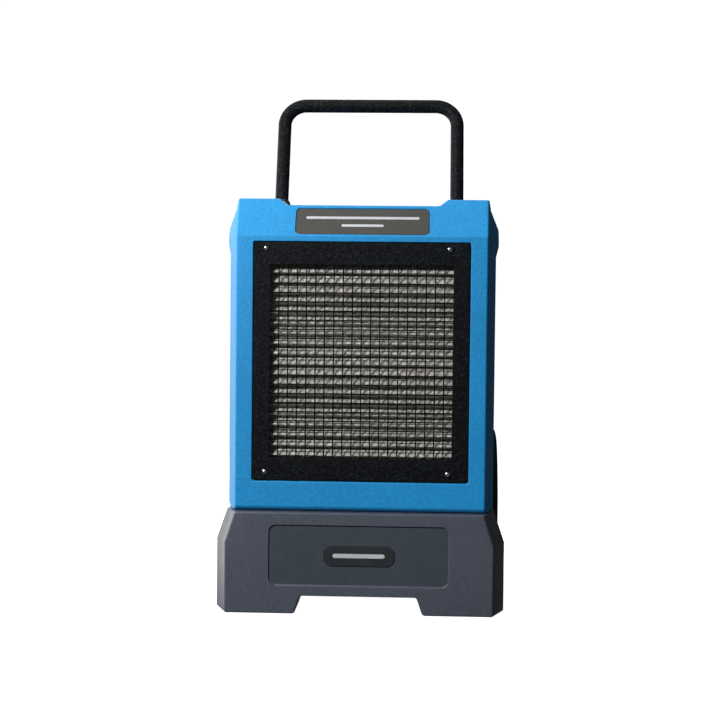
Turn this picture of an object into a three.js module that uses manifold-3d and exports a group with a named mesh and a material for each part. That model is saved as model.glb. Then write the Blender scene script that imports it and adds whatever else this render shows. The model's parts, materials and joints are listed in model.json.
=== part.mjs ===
// A portable low-grain refrigerant dehumidifier on two wheels, in millimetres, +Z up.
// The intake faces -Y, +X is to the right of someone who faces the intake, and the origin
// is on the floor at the centre of the machine's box.
import * as THREE from 'three';
import { ConvexGeometry } from 'three/addons/geometries/ConvexGeometry.js';
import { mergeVertices } from 'three/addons/utils/BufferGeometryUtils.js';
import Module from 'manifold-3d';

// ---------------------------------------------------------------- driving dimensions
const GAP = 0.4; // clearance between pieces that touch
const WALL = 5; // moulded wall of the housing and the base

const BASE = {
  halfWidth: 242, shoulderZ: 118, topHalfWidth: 224, topZ: 170, front: -240, rear: 180,
  faceHalfWidth: 222, topFaceHalfWidth: 205, floorZ: 31, floorThick: 6, footRear: -150, bottom: 1.5,
  notchTop: 96, notchBottom: 110, postTop: 160,
};
const HOUSING = {
  bottom: 171, bevel: 6, front: -228, rear: 180, frontWall: 14, crease: 626, top: 690, topFront: -183,
  faceHalfWidth: 207, topFaceHalfWidth: 208.5, sideHalfWidth: 222, bandHalfWidth: 227,
  topHalfWidth: 210, channelZ: 679, channelBottom: 127, channelTop: 141,
};
const CHAMFER = { run: 20, depth: 55 }; // the slanted front corners of housing and base, in plan
const INTAKE = { z: 418.5, width: 356, height: 394, openWidth: 302, openHeight: 320 };
const WIRE = { pitch: 15.2, size: 2, columns: 19, rows: 20 };
const PLEAT = { count: 20, pitch: 16.56, depth: 20, sheet: 2.4, upper: 0.64 };
const WHEEL = { radius: 145, width: 46, x: 215, y: 95, tyre: 33, axleRadius: 8 };
const ARCH = { radius: 157, innerX: 186 };
const HANDLE = { x: 160, tubeRadius: 12.2, lean: 19.5, footY: 52, reach: 205, tail: 92, bend: 40 };
const FAN = { z: 418.5, radius: 128, ring: 134, hub: 40, blades: 7, front: 8, rear: 46 };
const CASING = { halfWidth: 170, bottom: 164, top: 586, front: -186, rear: -4, sheet: 2 };
const DECK = {
  bottom: 160.4, top: 163.4, frontHalfWidth: 196, rearHalfWidth: 170, front: -210, step: -78, rear: 168,
};
const COMPRESSOR = { x: -60, y: 85, radius: 72, bottom: 50, top: 252 };
const OUTLET = { radius: 138, flange: 158, length: 34 };
const PANEL = { width: 212, depth: 124, y: -92, thick: 4, sunk: 4.4, ledge: 12 };
const PUMP = { x: 105, y: -150, width: 124, depth: 92, height: 88, wall: 3 };
const SPOUT = { x: 85, y: -150, radius: 7 };
const DRAIN = { x: 105, z: 112, radius: 9, bore: 5, rear: 216 };
const FOOT_PAD = { x: 172, y: -196, halfX: 30, halfY: 26, height: 6 };
const RECESS = { width: 298, height: 100, corner: 12, depth: 3, z: 98.8 }; // in the face of the base
const BADGE = { width: 118, height: 34, corner: 14, thick: 1.6 };
const FLANK = { width: 230, height: 220, corner: 16, depth: 2, y: -20, z: 450 }; // pressed panel on each side
const LABEL = { width: 222, height: 55, recess: 2.8, thick: 1.4, rise: 0.4 };
const FILTER = { width: 344, height: 362, border: 14, depth: 26, halfMedia: 157 };
const WINDOW = { width: 318, height: 336 }; // the opening behind the bezel
const COIL = { halfX: 136, halfZ: 178, depth: 44, z: 390, rows: 5, tube: 4.5, pitch: 22, reach: 16 };
const COIL_Y = { evaporator: -180, precooler: -122, condenser: -58 };
const TRAY = { halfWidth: 150, front: -182, rear: -8, bottom: 172, top: 198, wall: 3 };
const DRIER = { x: 188, y: -108, bottom: 232, top: 326, radius: 15 };
const INLET = { x: -120, z: 214, halfWidth: 14, halfHeight: 12 };
const SWITCH = { x: -62, z: 214, halfWidth: 11, halfHeight: 15 };
const HOOK = { x: 118, z: 632, halfWidth: 9 };
const KEYS = { x: [-66, -44, 44, 66], y: -30, radius: 8 };
const DISPLAY = { width: 80, height: 36, y: 18, depth: 2.4 };
const SCREWS = [[-158, 605], [145, 605], [-158, 235], [145, 235]];
const AXLE_HOLE = WHEEL.axleRadius + GAP;
const FAR = 400; // beyond the machine on every side

// ---------------------------------------------------------------- solids
const wasm = await Module();
wasm.setup();
const WELD = 1e-4;

function toSolid(geometry) {
  const bare = geometry.clone();
  bare.deleteAttribute('normal');
  bare.deleteAttribute('uv');
  const merged = mergeVertices(bare, WELD);
  const triVerts = new Uint32Array(merged.index.array);
  const vertProperties = new Float32Array(merged.attributes.position.array);
  return new wasm.Manifold(new wasm.Mesh({ numProp: 3, vertProperties, triVerts }));
}

function toGeometry(solid) {
  const raw = solid.getMesh();
  const geometry = new THREE.BufferGeometry();
  geometry.setAttribute('position', new THREE.BufferAttribute(raw.vertProperties, 3));
  geometry.setIndex(new THREE.BufferAttribute(raw.triVerts, 1));
  geometry.computeVertexNormals();
  return geometry;
}

const join = (...parts) => toGeometry(parts.map(toSolid).reduce((a, b) => a.add(b)));
const cut = (body, ...tools) => toGeometry(tools.map(toSolid).reduce((a, b) => a.subtract(b), toSolid(body)));
const common = (...parts) => toGeometry(parts.map(toSolid).reduce((a, b) => a.intersect(b)));

// ---------------------------------------------------------------- shape helpers
const X = new THREE.Vector3(1, 0, 0);
const Y = new THREE.Vector3(0, 1, 0);
const Z = new THREE.Vector3(0, 0, 1);
const QUARTER = Math.PI / 2;
const ROUND = 0.5523; // control length that makes a cubic curve follow a quarter circle
const radians = THREE.MathUtils.degToRad;

const block = (x0, x1, y0, y1, z0, z1) =>
  new THREE.BoxGeometry(x1 - x0, y1 - y0, z1 - z0).translate((x0 + x1) / 2, (y0 + y1) / 2, (z0 + z1) / 2);

const outline = (points) => new THREE.Shape(points.map(([a, b]) => new THREE.Vector2(a, b)));
const mirrored = (half) => [...half, ...half.map(([a, b]) => [-a, b]).reverse()];
const plain = { bevelEnabled: false };

// An outline in (y, z) pushed along X, in (x, z) along Y, or in (x, y) along Z.
function alongX(shape, from, to) {
  const turn = new THREE.Matrix4().makeBasis(Y, Z, X);
  return new THREE.ExtrudeGeometry(shape, { ...plain, depth: to - from }).applyMatrix4(turn).translate(from, 0, 0);
}

function alongY(shape, from, to, curveSegments = 3) {
  const turn = new THREE.Matrix4().makeBasis(X, Z, Y.clone().negate());
  const pushed = new THREE.ExtrudeGeometry(shape, { ...plain, depth: to - from, curveSegments });
  return pushed.applyMatrix4(turn).translate(0, to, 0);
}

function alongZ(shape, from, to, curveSegments = 3) {
  return new THREE.ExtrudeGeometry(shape, { ...plain, depth: to - from, curveSegments }).translate(0, 0, from);
}

function roundedRectangle(width, height, radius) {
  const shape = new THREE.Shape();
  const [w, h] = [width / 2, height / 2];
  shape.moveTo(-w + radius, -h);
  shape.lineTo(w - radius, -h);
  shape.absarc(w - radius, -h + radius, radius, -QUARTER, 0);
  shape.lineTo(w, h - radius);
  shape.absarc(w - radius, h - radius, radius, 0, QUARTER);
  shape.lineTo(-w + radius, h);
  shape.absarc(-w + radius, h - radius, radius, QUARTER, 2 * QUARTER);
  shape.lineTo(-w, -h + radius);
  shape.absarc(-w + radius, -h + radius, radius, 2 * QUARTER, 3 * QUARTER);
  return shape;
}

// A turned solid about +Y, from a profile of [radius, height] points.
function turned(profile, segments = 24) {
  const points = profile.map(([r, h]) => new THREE.Vector2(r, h));
  return new THREE.LatheGeometry(points, segments);
}

const rod = (radius, from, to, segments = 16) =>
  new THREE.CylinderGeometry(radius, radius, to - from, segments).translate(0, (from + to) / 2, 0);
const rodX = (radius, from, to, segments) => rod(radius, from, to, segments).rotateZ(-QUARTER);
const rodZ = (radius, from, to, segments) => rod(radius, from, to, segments).rotateX(QUARTER);

// A path of straight runs whose corners are rounded to one bend radius.
function route(corners, bend) {
  const points = corners.map((p) => new THREE.Vector3(...p));
  const path = new THREE.CurvePath();
  let start = points[0];
  for (let i = 1; i < points.length - 1; i += 1) {
    const corner = points[i];
    const into = corner.clone().sub(points[i - 1]).setLength(bend);
    const out = points[i + 1].clone().sub(corner).setLength(bend);
    const enter = corner.clone().sub(into);
    const leave = corner.clone().add(out);
    const first = enter.clone().addScaledVector(into, ROUND);
    const second = leave.clone().addScaledVector(out, -ROUND);
    path.add(new THREE.LineCurve3(start, enter));
    path.add(new THREE.CubicBezierCurve3(enter, first, second, leave));
    start = leave;
  }
  path.add(new THREE.LineCurve3(start, points[points.length - 1]));
  return path;
}

function pipe(corners, bend, radius, steps, sides = 6) {
  const section = new THREE.Shape();
  for (let i = 0; i < sides; i += 1) {
    const angle = (i / sides) * 2 * Math.PI;
    const [u, v] = [radius * Math.cos(angle), radius * Math.sin(angle)];
    if (i === 0) section.moveTo(u, v);
    else section.lineTo(u, v);
  }
  return new THREE.ExtrudeGeometry(section, { steps, extrudePath: route(corners, bend), bevelEnabled: false });
}

// ---------------------------------------------------------------- scene graph
const finish = (color, roughness, metalness = 0) => new THREE.MeshStandardMaterial({ color, roughness, metalness });
const FINISH = {
  blue: finish(0x2f86cc, 0.5),
  charcoal: finish(0x4b5058, 0.6),
  black: finish(0x18191b, 0.6),
  blackMetal: finish(0x1a1b1d, 0.55, 0.3),
  rubber: finish(0x141414, 0.85),
  media: finish(0xa5a29a, 0.8),
  steel: finish(0xb8babd, 0.35, 0.9),
  galvanised: finish(0x9a9da0, 0.45, 0.8),
  aluminium: finish(0xc4c6c8, 0.4, 0.9),
  copper: finish(0xb5713f, 0.35, 0.9),
  enamel: finish(0x202225, 0.4),
  white: finish(0xd8d8d4, 0.5),
  lens: finish(0x10202a, 0.15),
  red: finish(0xa02020, 0.45),
};

function place(group, name, geometry, material, position = [0, 0, 0]) {
  const mesh = new THREE.Mesh(geometry, material);
  mesh.name = name;
  mesh.position.set(...position);
  group.add(mesh);
  return mesh;
}

const sides = [['left', -1], ['right', 1]];

// ---------------------------------------------------------------- base and housing bodies
// The wedge that slants a front corner: its cutting face runs from the front face's edge back
// and outwards, and follows that edge where the edge moves between two heights.
function cornerWedge(side, edge, inset) {
  const { run, depth } = CHAMFER;
  const length = Math.hypot(run, depth);
  const shift = [(-inset * depth) / length, (inset * run) / length];
  const points = [];
  for (const [x, y, z] of edge) {
    const start = [x + shift[0], y + shift[1]];
    points.push([start[0] - run, start[1] - depth, z]);
    points.push([start[0] + 2 * run, start[1] + 2 * depth, z]);
    points.push([start[0] + 5 * run, start[1] - depth, z]);
  }
  return new ConvexGeometry(points.map(([x, y, z]) => new THREE.Vector3(side * x, y, z)));
}

const slanted = (body, edges, inset) =>
  cut(body, ...sides.flatMap(([, side]) => edges.map((edge) => cornerWedge(side, edge, inset))));

// The round clearance over each wheel, open to the side.
function archCutters(grow) {
  const { radius, innerX } = ARCH;
  return sides.map(([, side]) => {
    const [near, far] = [side * (innerX - grow), side * (innerX + 80)];
    const [low, high] = [Math.min(near, far), Math.max(near, far)];
    return rodX(radius + grow, low, high, 28).translate(0, WHEEL.y, WHEEL.radius);
  });
}

function baseBody(inset) {
  const half = [
    [BASE.halfWidth - inset, BASE.bottom], [BASE.halfWidth - inset, BASE.shoulderZ],
    [BASE.topHalfWidth - inset, BASE.topZ],
  ];
  const width = alongY(outline(mirrored(half)), BASE.front + inset, BASE.rear - inset);
  const straight = [[BASE.faceHalfWidth, BASE.front, -10], [BASE.faceHalfWidth, BASE.front, BASE.shoulderZ]];
  const rise = BASE.topZ - BASE.shoulderZ;
  const above = BASE.topFaceHalfWidth - (BASE.faceHalfWidth - BASE.topFaceHalfWidth);
  const leaning = [straight[1], [above, BASE.front, BASE.topZ + rise]];
  return slanted(width, [straight, leaning], inset);
}

function housingBody(inset) {
  const h = HOUSING;
  const low = inset ? h.bottom - 10 : h.bottom;
  const half = [
    [h.channelBottom + inset / 2, h.channelZ - inset], [h.channelTop + inset / 2, h.top - inset],
    [h.topHalfWidth - inset, h.top - inset], [h.topHalfWidth + 3 - inset, h.top - 18],
    [h.bandHalfWidth - inset, 640], [h.bandHalfWidth - inset, 612], [h.sideHalfWidth - inset, 594],
    [h.sideHalfWidth - inset, h.bottom + h.bevel], [h.sideHalfWidth - h.bevel - inset, low],
  ];
  const width = alongY(outline(mirrored(half)), h.front - 10, h.rear + 10);
  const thick = inset ? h.frontWall : 0;
  const sideView = [
    [h.front + h.bevel + thick, low], [h.front + thick, h.bottom + h.bevel],
    [h.front + thick, h.crease - inset], [h.topFront + thick, h.top + (inset ? 1 : 0)], [h.rear - 12 - inset, h.top + (inset ? 1 : 0)],
    [h.rear - inset, h.top - 12], [h.rear - inset, low],
  ];
  const depth = alongX(outline(sideView), -h.bandHalfWidth - 10, h.bandHalfWidth + 10);
  const straight = [[h.faceHalfWidth, h.front, low - 10], [h.faceHalfWidth, h.front, h.crease]];
  const beyond = 1.5; // the slope's edge is carried on past the top
  const leaning = [straight[1], [
    h.faceHalfWidth + (h.topFaceHalfWidth - h.faceHalfWidth) * beyond,
    h.front + (h.topFront - h.front) * beyond,
    h.crease + (h.top - h.crease) * beyond,
  ]];
  return slanted(common(width, depth), [straight, leaning], inset);
}

// ---------------------------------------------------------------- chassis
function baseTub() {
  const floorTop = BASE.floorZ + BASE.floorThick;
  const notch = [
    [BASE.notchTop, BASE.floorZ], [BASE.notchBottom, -10], [-BASE.notchBottom, -10], [-BASE.notchTop, BASE.floorZ],
  ];
  const outside = cut(
    baseBody(0),
    alongY(outline(notch), BASE.front - 10, BASE.rear + 10),
    block(-FAR, FAR, BASE.footRear, BASE.rear + 10, -10, BASE.floorZ),
    ...archCutters(0),
  );
  const room = block(-FAR, FAR, -FAR, FAR, floorTop, BASE.postTop);
  const inside = cut(common(baseBody(WALL), room), ...archCutters(WALL));
  const post = (x, y) => block(x - 9, x + 9, y - 9, y + 9, floorTop - 1, BASE.postTop);
  const posts = sides.flatMap(([, side]) => [post(side * 185, -195), post(side * 160, -20), post(side * 160, 158)]);
  const opened = alongZ(outline(deckPlan(GAP)), BASE.postTop - 1, BASE.topZ + 10);
  const recess = alongY(roundedRectangle(RECESS.width, RECESS.height, RECESS.corner), BASE.front - 5,
    BASE.front + RECESS.depth).translate(0, 0, RECESS.z);
  const axleHole = rodX(AXLE_HOLE, -FAR, FAR).translate(0, WHEEL.y, WHEEL.radius);
  const drainHole = rod(DRAIN.radius + GAP, 150, 200).translate(DRAIN.x, 0, DRAIN.z);
  const { x, y, halfX, halfY, height } = FOOT_PAD;
  const seat = block(-halfX - GAP, halfX + GAP, -halfY - GAP, halfY + GAP, -10, height + GAP);
  const seats = sides.map(([, side]) => seat.clone().translate(side * x, y, 0));
  return cut(join(cut(outside, inside), ...posts), opened, recess, axleHole, drainHole, ...seats);
}

// The deck steps in beside the wheels.
function deckPlan(grow) {
  const { frontHalfWidth, rearHalfWidth, front, step, rear } = DECK;
  const half = [[frontHalfWidth + grow, front - grow], [frontHalfWidth + grow, step + grow],
    [rearHalfWidth + grow, step + grow], [rearHalfWidth + grow, rear + grow]];
  return mirrored(half);
}

function equipmentDeck() {
  const plate = alongZ(outline(deckPlan(0)), DECK.bottom, DECK.top);
  const well = rodZ(COMPRESSOR.radius + 8, 100, 200, 20).translate(COMPRESSOR.x, COMPRESSOR.y, 0);
  const drop = rodZ(SPOUT.radius + 3, 100, 200, 12).translate(SPOUT.x, SPOUT.y, 0);
  return cut(plate, well, drop);
}

function housingShell() {
  const h = HOUSING;
  const shadowGap = 2.4;
  const [pocketWidth, pocketHeight] = [INTAKE.width + shadowGap, INTAKE.height + shadowGap];
  const pocket = alongY(roundedRectangle(pocketWidth, pocketHeight, 4), h.front - 5, h.front + 8);
  const window = alongY(roundedRectangle(WINDOW.width, WINDOW.height, 3), h.front, h.front + 40);
  const { anglePitch, centre } = slopeFrame();
  const label = alongY(roundedRectangle(LABEL.width, LABEL.height, 8), -10, LABEL.recess);
  label.rotateX(anglePitch).translate(...centre);
  const outlet = rod(OUTLET.radius + GAP / 2, h.rear - 30, h.rear + 40, 36).translate(0, 0, FAN.z);
  const [inlet, rocker] = [INLET, SWITCH].map(({ x, z, halfWidth, halfHeight }) =>
    block(x - halfWidth, x + halfWidth, h.rear - 30, h.rear + 40, z - halfHeight, z + halfHeight));
  const legs = sides.map(([, side]) => rodZ(HANDLE.tubeRadius + 1, -60, 60, 12)
    .rotateX(-radians(HANDLE.lean)).translate(side * HANDLE.x, HANDLE.footY, h.top));
  const [seatX, seatY, seatZ] = [PANEL.width / 2 + GAP, PANEL.depth / 2 + GAP, h.channelZ - PANEL.sunk];
  const seat = block(-seatX, seatX, PANEL.y - seatY, PANEL.y + seatY, seatZ, h.top + 10);
  const [keysX, keysY] = [seatX - PANEL.ledge, seatY - PANEL.ledge];
  const keys = block(-keysX, keysX, PANEL.y - keysY, PANEL.y + keysY, h.channelZ - 20, h.top + 10);
  const border = 6;
  const backing = block(-seatX - border, seatX + border, PANEL.y - seatY - border, PANEL.y + seatY + border,
    seatZ - WALL, h.top);
  const shell = cut(housingBody(0), ...archCutters(0));
  const inside = cut(housingBody(WALL), ...archCutters(WALL), backing);
  const openings = [pocket, window].map((piece) => piece.translate(0, 0, INTAKE.z));
  const grips = sides.map(([, side]) => sidePanel(side));
  return cut(shell, inside, ...openings, label, outlet, inlet, rocker, seat, keys, ...legs, ...grips);
}

// A shallow pressed panel on each flank.
function sidePanel(side) {
  const shape = roundedRectangle(FLANK.width, FLANK.height, FLANK.corner);
  const near = HOUSING.sideHalfWidth - FLANK.depth;
  const pushed = alongX(shape, near, near + 20);
  return (side > 0 ? pushed : pushed.rotateZ(2 * QUARTER)).translate(0, FLANK.y, FLANK.z);
}

// The middle of the sloped front panel, and its lean.
function slopeFrame() {
  const rise = HOUSING.top - HOUSING.crease;
  const back = HOUSING.topFront - HOUSING.front;
  const centre = [0, HOUSING.front + back * LABEL.rise, HOUSING.crease + rise * LABEL.rise];
  return { anglePitch: -Math.atan2(back, rise), centre };
}

function addChassis(root) {
  const group = new THREE.Group();
  place(group, 'base_tub', baseTub(), FINISH.charcoal);
  place(group, 'equipment_deck', equipmentDeck(), FINISH.galvanised);
  place(group, 'housing_shell', housingShell(), FINISH.blue);
  const { anglePitch, centre } = slopeFrame();
  const plate = alongY(roundedRectangle(LABEL.width - 2, LABEL.height - 2, 7), 0, LABEL.thick);
  const label = place(group, 'label_plate', plate, FINISH.black, centre);
  label.rotation.x = anglePitch;
  label.translateY(LABEL.recess - LABEL.thick - GAP);
  const badge = alongY(roundedRectangle(BADGE.width, BADGE.height, BADGE.corner), -BADGE.thick, 0);
  place(group, 'base_badge', badge, FINISH.white, [0, BASE.front + RECESS.depth - GAP, RECESS.z]);
  for (const [name, side] of sides) {
    const { x, y, halfX, halfY, height } = FOOT_PAD;
    const pad = block(-halfX, halfX, -halfY, halfY, 0, height);
    place(group, `foot_pad_${name}`, pad, FINISH.rubber, [side * x, y, 0]);
  }
  root.add(group);
}

// ---------------------------------------------------------------- intake
function bezel() {
  const shape = roundedRectangle(INTAKE.width, INTAKE.height, 3);
  shape.holes.push(roundedRectangle(INTAKE.openWidth, INTAKE.openHeight, 2));
  return alongY(shape, -4, 0, 2);
}

// A layer of parallel wires held by two cross wires behind the bezel's border.
function wireLayer(count, length, size) {
  const span = (count - 1) * WIRE.pitch;
  const wires = [];
  for (let i = 0; i < count; i += 1) {
    const at = i * WIRE.pitch - span / 2;
    wires.push(block(at - size / 2, at + size / 2, 0, size, -length / 2, length / 2));
  }
  const ends = [-1, 1].map((end) => {
    const at = (end * (length - size)) / 2;
    return block(-span / 2, span / 2, 0, size, at - size / 2, at + size / 2);
  });
  return join(...wires, ...ends);
}

function pleatedMedia() {
  const { count, pitch, depth, sheet, upper } = PLEAT;
  const face = [];
  const back = [];
  for (let i = 0; i <= count * 2; i += 1) {
    const fold = Math.floor(i / 2) + (i % 2 ? upper : 0); // the slope that faces up is the wider one
    const z = (fold - count / 2) * pitch;
    const y = i % 2 ? depth : 0;
    face.push([y, z]);
    back.unshift([y + sheet, z]);
  }
  return alongX(outline([...face, ...back]), -FILTER.halfMedia, FILTER.halfMedia);
}

function filterFrame() {
  const { width, height, border, depth } = FILTER;
  const shape = roundedRectangle(width, height, 2);
  shape.holes.push(roundedRectangle(width - 2 * border, height - 2 * border, 1));
  return alongY(shape, 0, depth, 1);
}

function bezelScrew() {
  const head = turned([[0, -3.2], [3, -2.6], [4.4, 0], [2, 0], [2, 8], [0, 8]], 10);
  const slot = block(-0.6, 0.6, -4, -2, -2.6, 2.6);
  return cut(head, slot);
}

function addIntake(root) {
  const group = new THREE.Group();
  const face = HOUSING.front - 0.5;
  const [plate, play] = [4, 0.3]; // the bezel's thickness, and the play between the wire layers
  const frame = cut(bezel(), ...SCREWS.map(([x, z]) => rod(2.4, -10, 10, 8).translate(x, 0, z - INTAKE.z)));
  place(group, 'front_bezel', frame, FINISH.blackMetal, [0, face + plate, INTAKE.z]);
  const upright = wireLayer(WIRE.columns, WINDOW.height - 4, WIRE.size);
  place(group, 'guard_vertical_wires', upright, FINISH.blackMetal, [0, face + plate + play, INTAKE.z]);
  const level = wireLayer(WIRE.rows, WINDOW.width - 4, WIRE.size);
  const layer = place(group, 'guard_horizontal_wires', level, FINISH.blackMetal);
  layer.position.set(0, face + plate + WIRE.size + 2 * play, INTAKE.z);
  layer.rotation.y = QUARTER;
  const behind = HOUSING.front + HOUSING.frontWall;
  place(group, 'filter_frame', filterFrame(), FINISH.black, [0, behind + GAP, INTAKE.z]);
  const media = layer.position.y + WIRE.size + play;
  place(group, 'air_filter', pleatedMedia(), FINISH.media, [0, media, INTAKE.z]);
  SCREWS.forEach(([x, z], i) => {
    place(group, `bezel_screw_${i + 1}`, bezelScrew(), FINISH.steel, [x, face - GAP, z]);
  });
  root.add(group);
}

// ---------------------------------------------------------------- handle
function addHandle(root) {
  const { x, tubeRadius, lean, footY, reach, tail, bend } = HANDLE;
  const group = new THREE.Group();
  const tube = pipe([[-x, 0, -tail], [-x, 0, reach], [x, 0, reach], [x, 0, -tail]], bend, tubeRadius, 40, 10);
  const handle = place(group, 'handle_tube', tube, FINISH.blackMetal);
  handle.position.set(0, footY, HOUSING.top);
  handle.rotation.x = -radians(lean);
  for (const [name, side] of sides) {
    const inner = tubeRadius + 0.5;
    const collar = turned([[inner, 0], [18, 0], [18, 5], [inner + 2, 14], [inner, 14], [inner, 0]], 14);
    const upright = collar.rotateX(QUARTER).rotateX(-radians(lean));
    const level = common(upright.translate(0, -1.2, -3), block(-30, 30, -30, 30, GAP, 30));
    place(group, `handle_socket_${name}`, level, FINISH.black, [side * x, footY, HOUSING.top]);
  }
  root.add(group);
}

// ---------------------------------------------------------------- wheels
function tyre() {
  const { radius, width, tyre: depth } = WHEEL;
  const [w, r] = [width / 2, radius];
  const profile = [[r - depth, -w + 3], [r - 12, -w], [r - 3, -w + 6], [r, -w + 14], [r, w - 14], [r - 3, w - 6],
    [r - 12, w], [r - depth, w - 3], [r - depth, -w + 3]];
  return turned(profile, 40).rotateZ(-QUARTER);
}

// A dished disc between hub and ring, with radial ribs on the outer side.
function rim() {
  const { radius, width, tyre: depth, axleRadius } = WHEEL;
  const [w, r] = [width / 2, radius - depth - GAP];
  const [bore, hub, lip] = [axleRadius + GAP, 22, r - 7];
  const disc = turned([[bore, -w], [hub, -w], [hub, 2], [lip, 6], [lip, 4 - w], [r, 4 - w], [r, w - 4],
    [lip, w - 4], [lip, 11], [hub, 7], [hub, w - 6], [bore, w - 6], [bore, -w]], 28);
  const ribs = [];
  const count = 8;
  for (let i = 0; i < count; i += 1) {
    ribs.push(block(hub - 1, lip + 1, 4, w - 7, -3, 3).rotateY((i / count) * 2 * Math.PI));
  }
  return join(disc, ...ribs).rotateZ(-QUARTER);
}

function addWheels(root) {
  for (const [name, side] of sides) {
    const wheel = new THREE.Group();
    wheel.position.set(side * WHEEL.x, WHEEL.y, WHEEL.radius);
    wheel.rotation.z = side > 0 ? 0 : 2 * QUARTER;
    place(wheel, `tyre_${name}`, tyre(), FINISH.rubber);
    place(wheel, `rim_${name}`, rim(), FINISH.black);
    const cap = turned([[0, 0], [14, 0], [9, 4], [0, 5]], 16).rotateZ(-QUARTER);
    place(wheel, `hub_cap_${name}`, cap, FINISH.steel, [WHEEL.width / 2 - 5.6, 0, 0]);
    const inboard = ARCH.innerX - WALL - GAP - WHEEL.x;
    const stub = join(rodX(WHEEL.axleRadius, inboard - 4, WHEEL.width / 2 - 7), rodX(14, inboard - 5, inboard, 6));
    place(wheel, `axle_${name}`, stub, FINISH.steel);
    root.add(wheel);
  }
}

// ---------------------------------------------------------------- refrigeration circuit
const SUCTION = { y: COIL_Y.evaporator + 20, z: 340 };
const HOT = { y: COIL_Y.condenser + COIL.depth / 2, z: 520 };
const LIQUID = { y: HOT.y, z: 400 };
const FEED = { y: SUCTION.y, z: 260 };
const PORTS = [[-1, SUCTION.y, SUCTION.z], [1, HOT.y, HOT.z], [1, LIQUID.y, LIQUID.z], [1, FEED.y, FEED.z]];

function coilCasing() {
  const { halfWidth, bottom, top, front, rear, sheet } = CASING;
  const shape = outline([[-halfWidth, bottom], [halfWidth, bottom], [halfWidth, top], [-halfWidth, top]]);
  const [w, b, t] = [halfWidth - sheet, bottom + sheet, top - sheet];
  shape.holes.push(outline([[-w, b], [-w, t], [w, t], [w, b]]));
  const sleeve = alongY(shape, front, rear);
  const drop = rodZ(SPOUT.radius + 3, 100, 200, 12).translate(SPOUT.x, SPOUT.y, 0);
  const port = (side, y, z) => rodX(8, side > 0 ? 150 : -190, side > 0 ? 190 : -150, 12).translate(0, y, z);
  return cut(sleeve, drop, ...PORTS.map(([side, y, z]) => port(side, y, z)));
}

// A finned block between two end plates, with hairpin bends standing out of both plates.
function finnedCoil() {
  const { halfX, halfZ, depth, rows, tube, pitch, reach } = COIL;
  const fins = block(-halfX, halfX, 1, depth - 1, -halfZ + 2, halfZ - 2);
  const plates = [-1, 1].map((end) => block(end * halfX - 1, end * halfX + 1, 0, depth, -halfZ, halfZ));
  const hairpins = [];
  const step = (2 * halfZ) / rows;
  for (let i = 0; i < rows; i += 1) {
    const end = i % 2 ? 1 : -1;
    const z = -halfZ + step * (i + 0.5);
    const [low, high] = [z - pitch / 2, z + pitch / 2];
    const tip = end * (halfX + reach);
    const foot = end * (halfX - 3);
    const path = [[foot, depth / 2, low], [tip, depth / 2, low], [tip, depth / 2, high], [foot, depth / 2, high]];
    hairpins.push(pipe(path, 10, tube, 6, 6));
  }
  return join(fins, ...plates, ...hairpins);
}

function precoolerCore() {
  const { halfX, halfZ, depth } = COIL;
  const core = block(-halfX, halfX, 0, depth, 2 - halfZ, halfZ - 2);
  const grooves = [];
  const pitch = 40;
  for (let z = -4 * pitch; z <= 4 * pitch; z += pitch) grooves.push(block(-FAR, FAR, -1, 3, z - 10, z + 10));
  return cut(core, ...grooves);
}

function dripTray() {
  const { halfWidth, front, rear, bottom, top, wall } = TRAY;
  const outer = block(-halfWidth, halfWidth, front, rear, bottom, top);
  const inner = block(wall - halfWidth, halfWidth - wall, front + wall, rear - wall, bottom + wall, top + wall);
  const spout = rodZ(SPOUT.radius, bottom - 32, bottom + 2, 12).translate(SPOUT.x, SPOUT.y, 0);
  const bore = rodZ(SPOUT.radius - 2, bottom - 40, bottom + 8, 12).translate(SPOUT.x, SPOUT.y, 0);
  return cut(join(outer, spout), inner, bore);
}

function compressor() {
  const { radius, bottom, top } = COMPRESSOR;
  const can = [[0, bottom], [radius - 8, bottom], [radius, bottom + 8], [radius, top - 40], [radius - 8, top - 20],
    [radius - 28, top - 6], [0, top]];
  return turned(can, 20).rotateX(QUARTER);
}

function compressorPlate() {
  const floorTop = BASE.floorZ + BASE.floorThick;
  const [size, reach, stud] = [150, 60, 6];
  const plate = alongZ(roundedRectangle(size, size, 16), floorTop + stud, COMPRESSOR.bottom - GAP, 2);
  const studs = [[-reach, -reach], [reach, -reach], [-reach, reach], [reach, reach]].map(([x, y]) =>
    rodZ(9, floorTop + GAP, floorTop + stud + 1, 8).translate(x, y, 0));
  return join(plate, ...studs);
}

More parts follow.
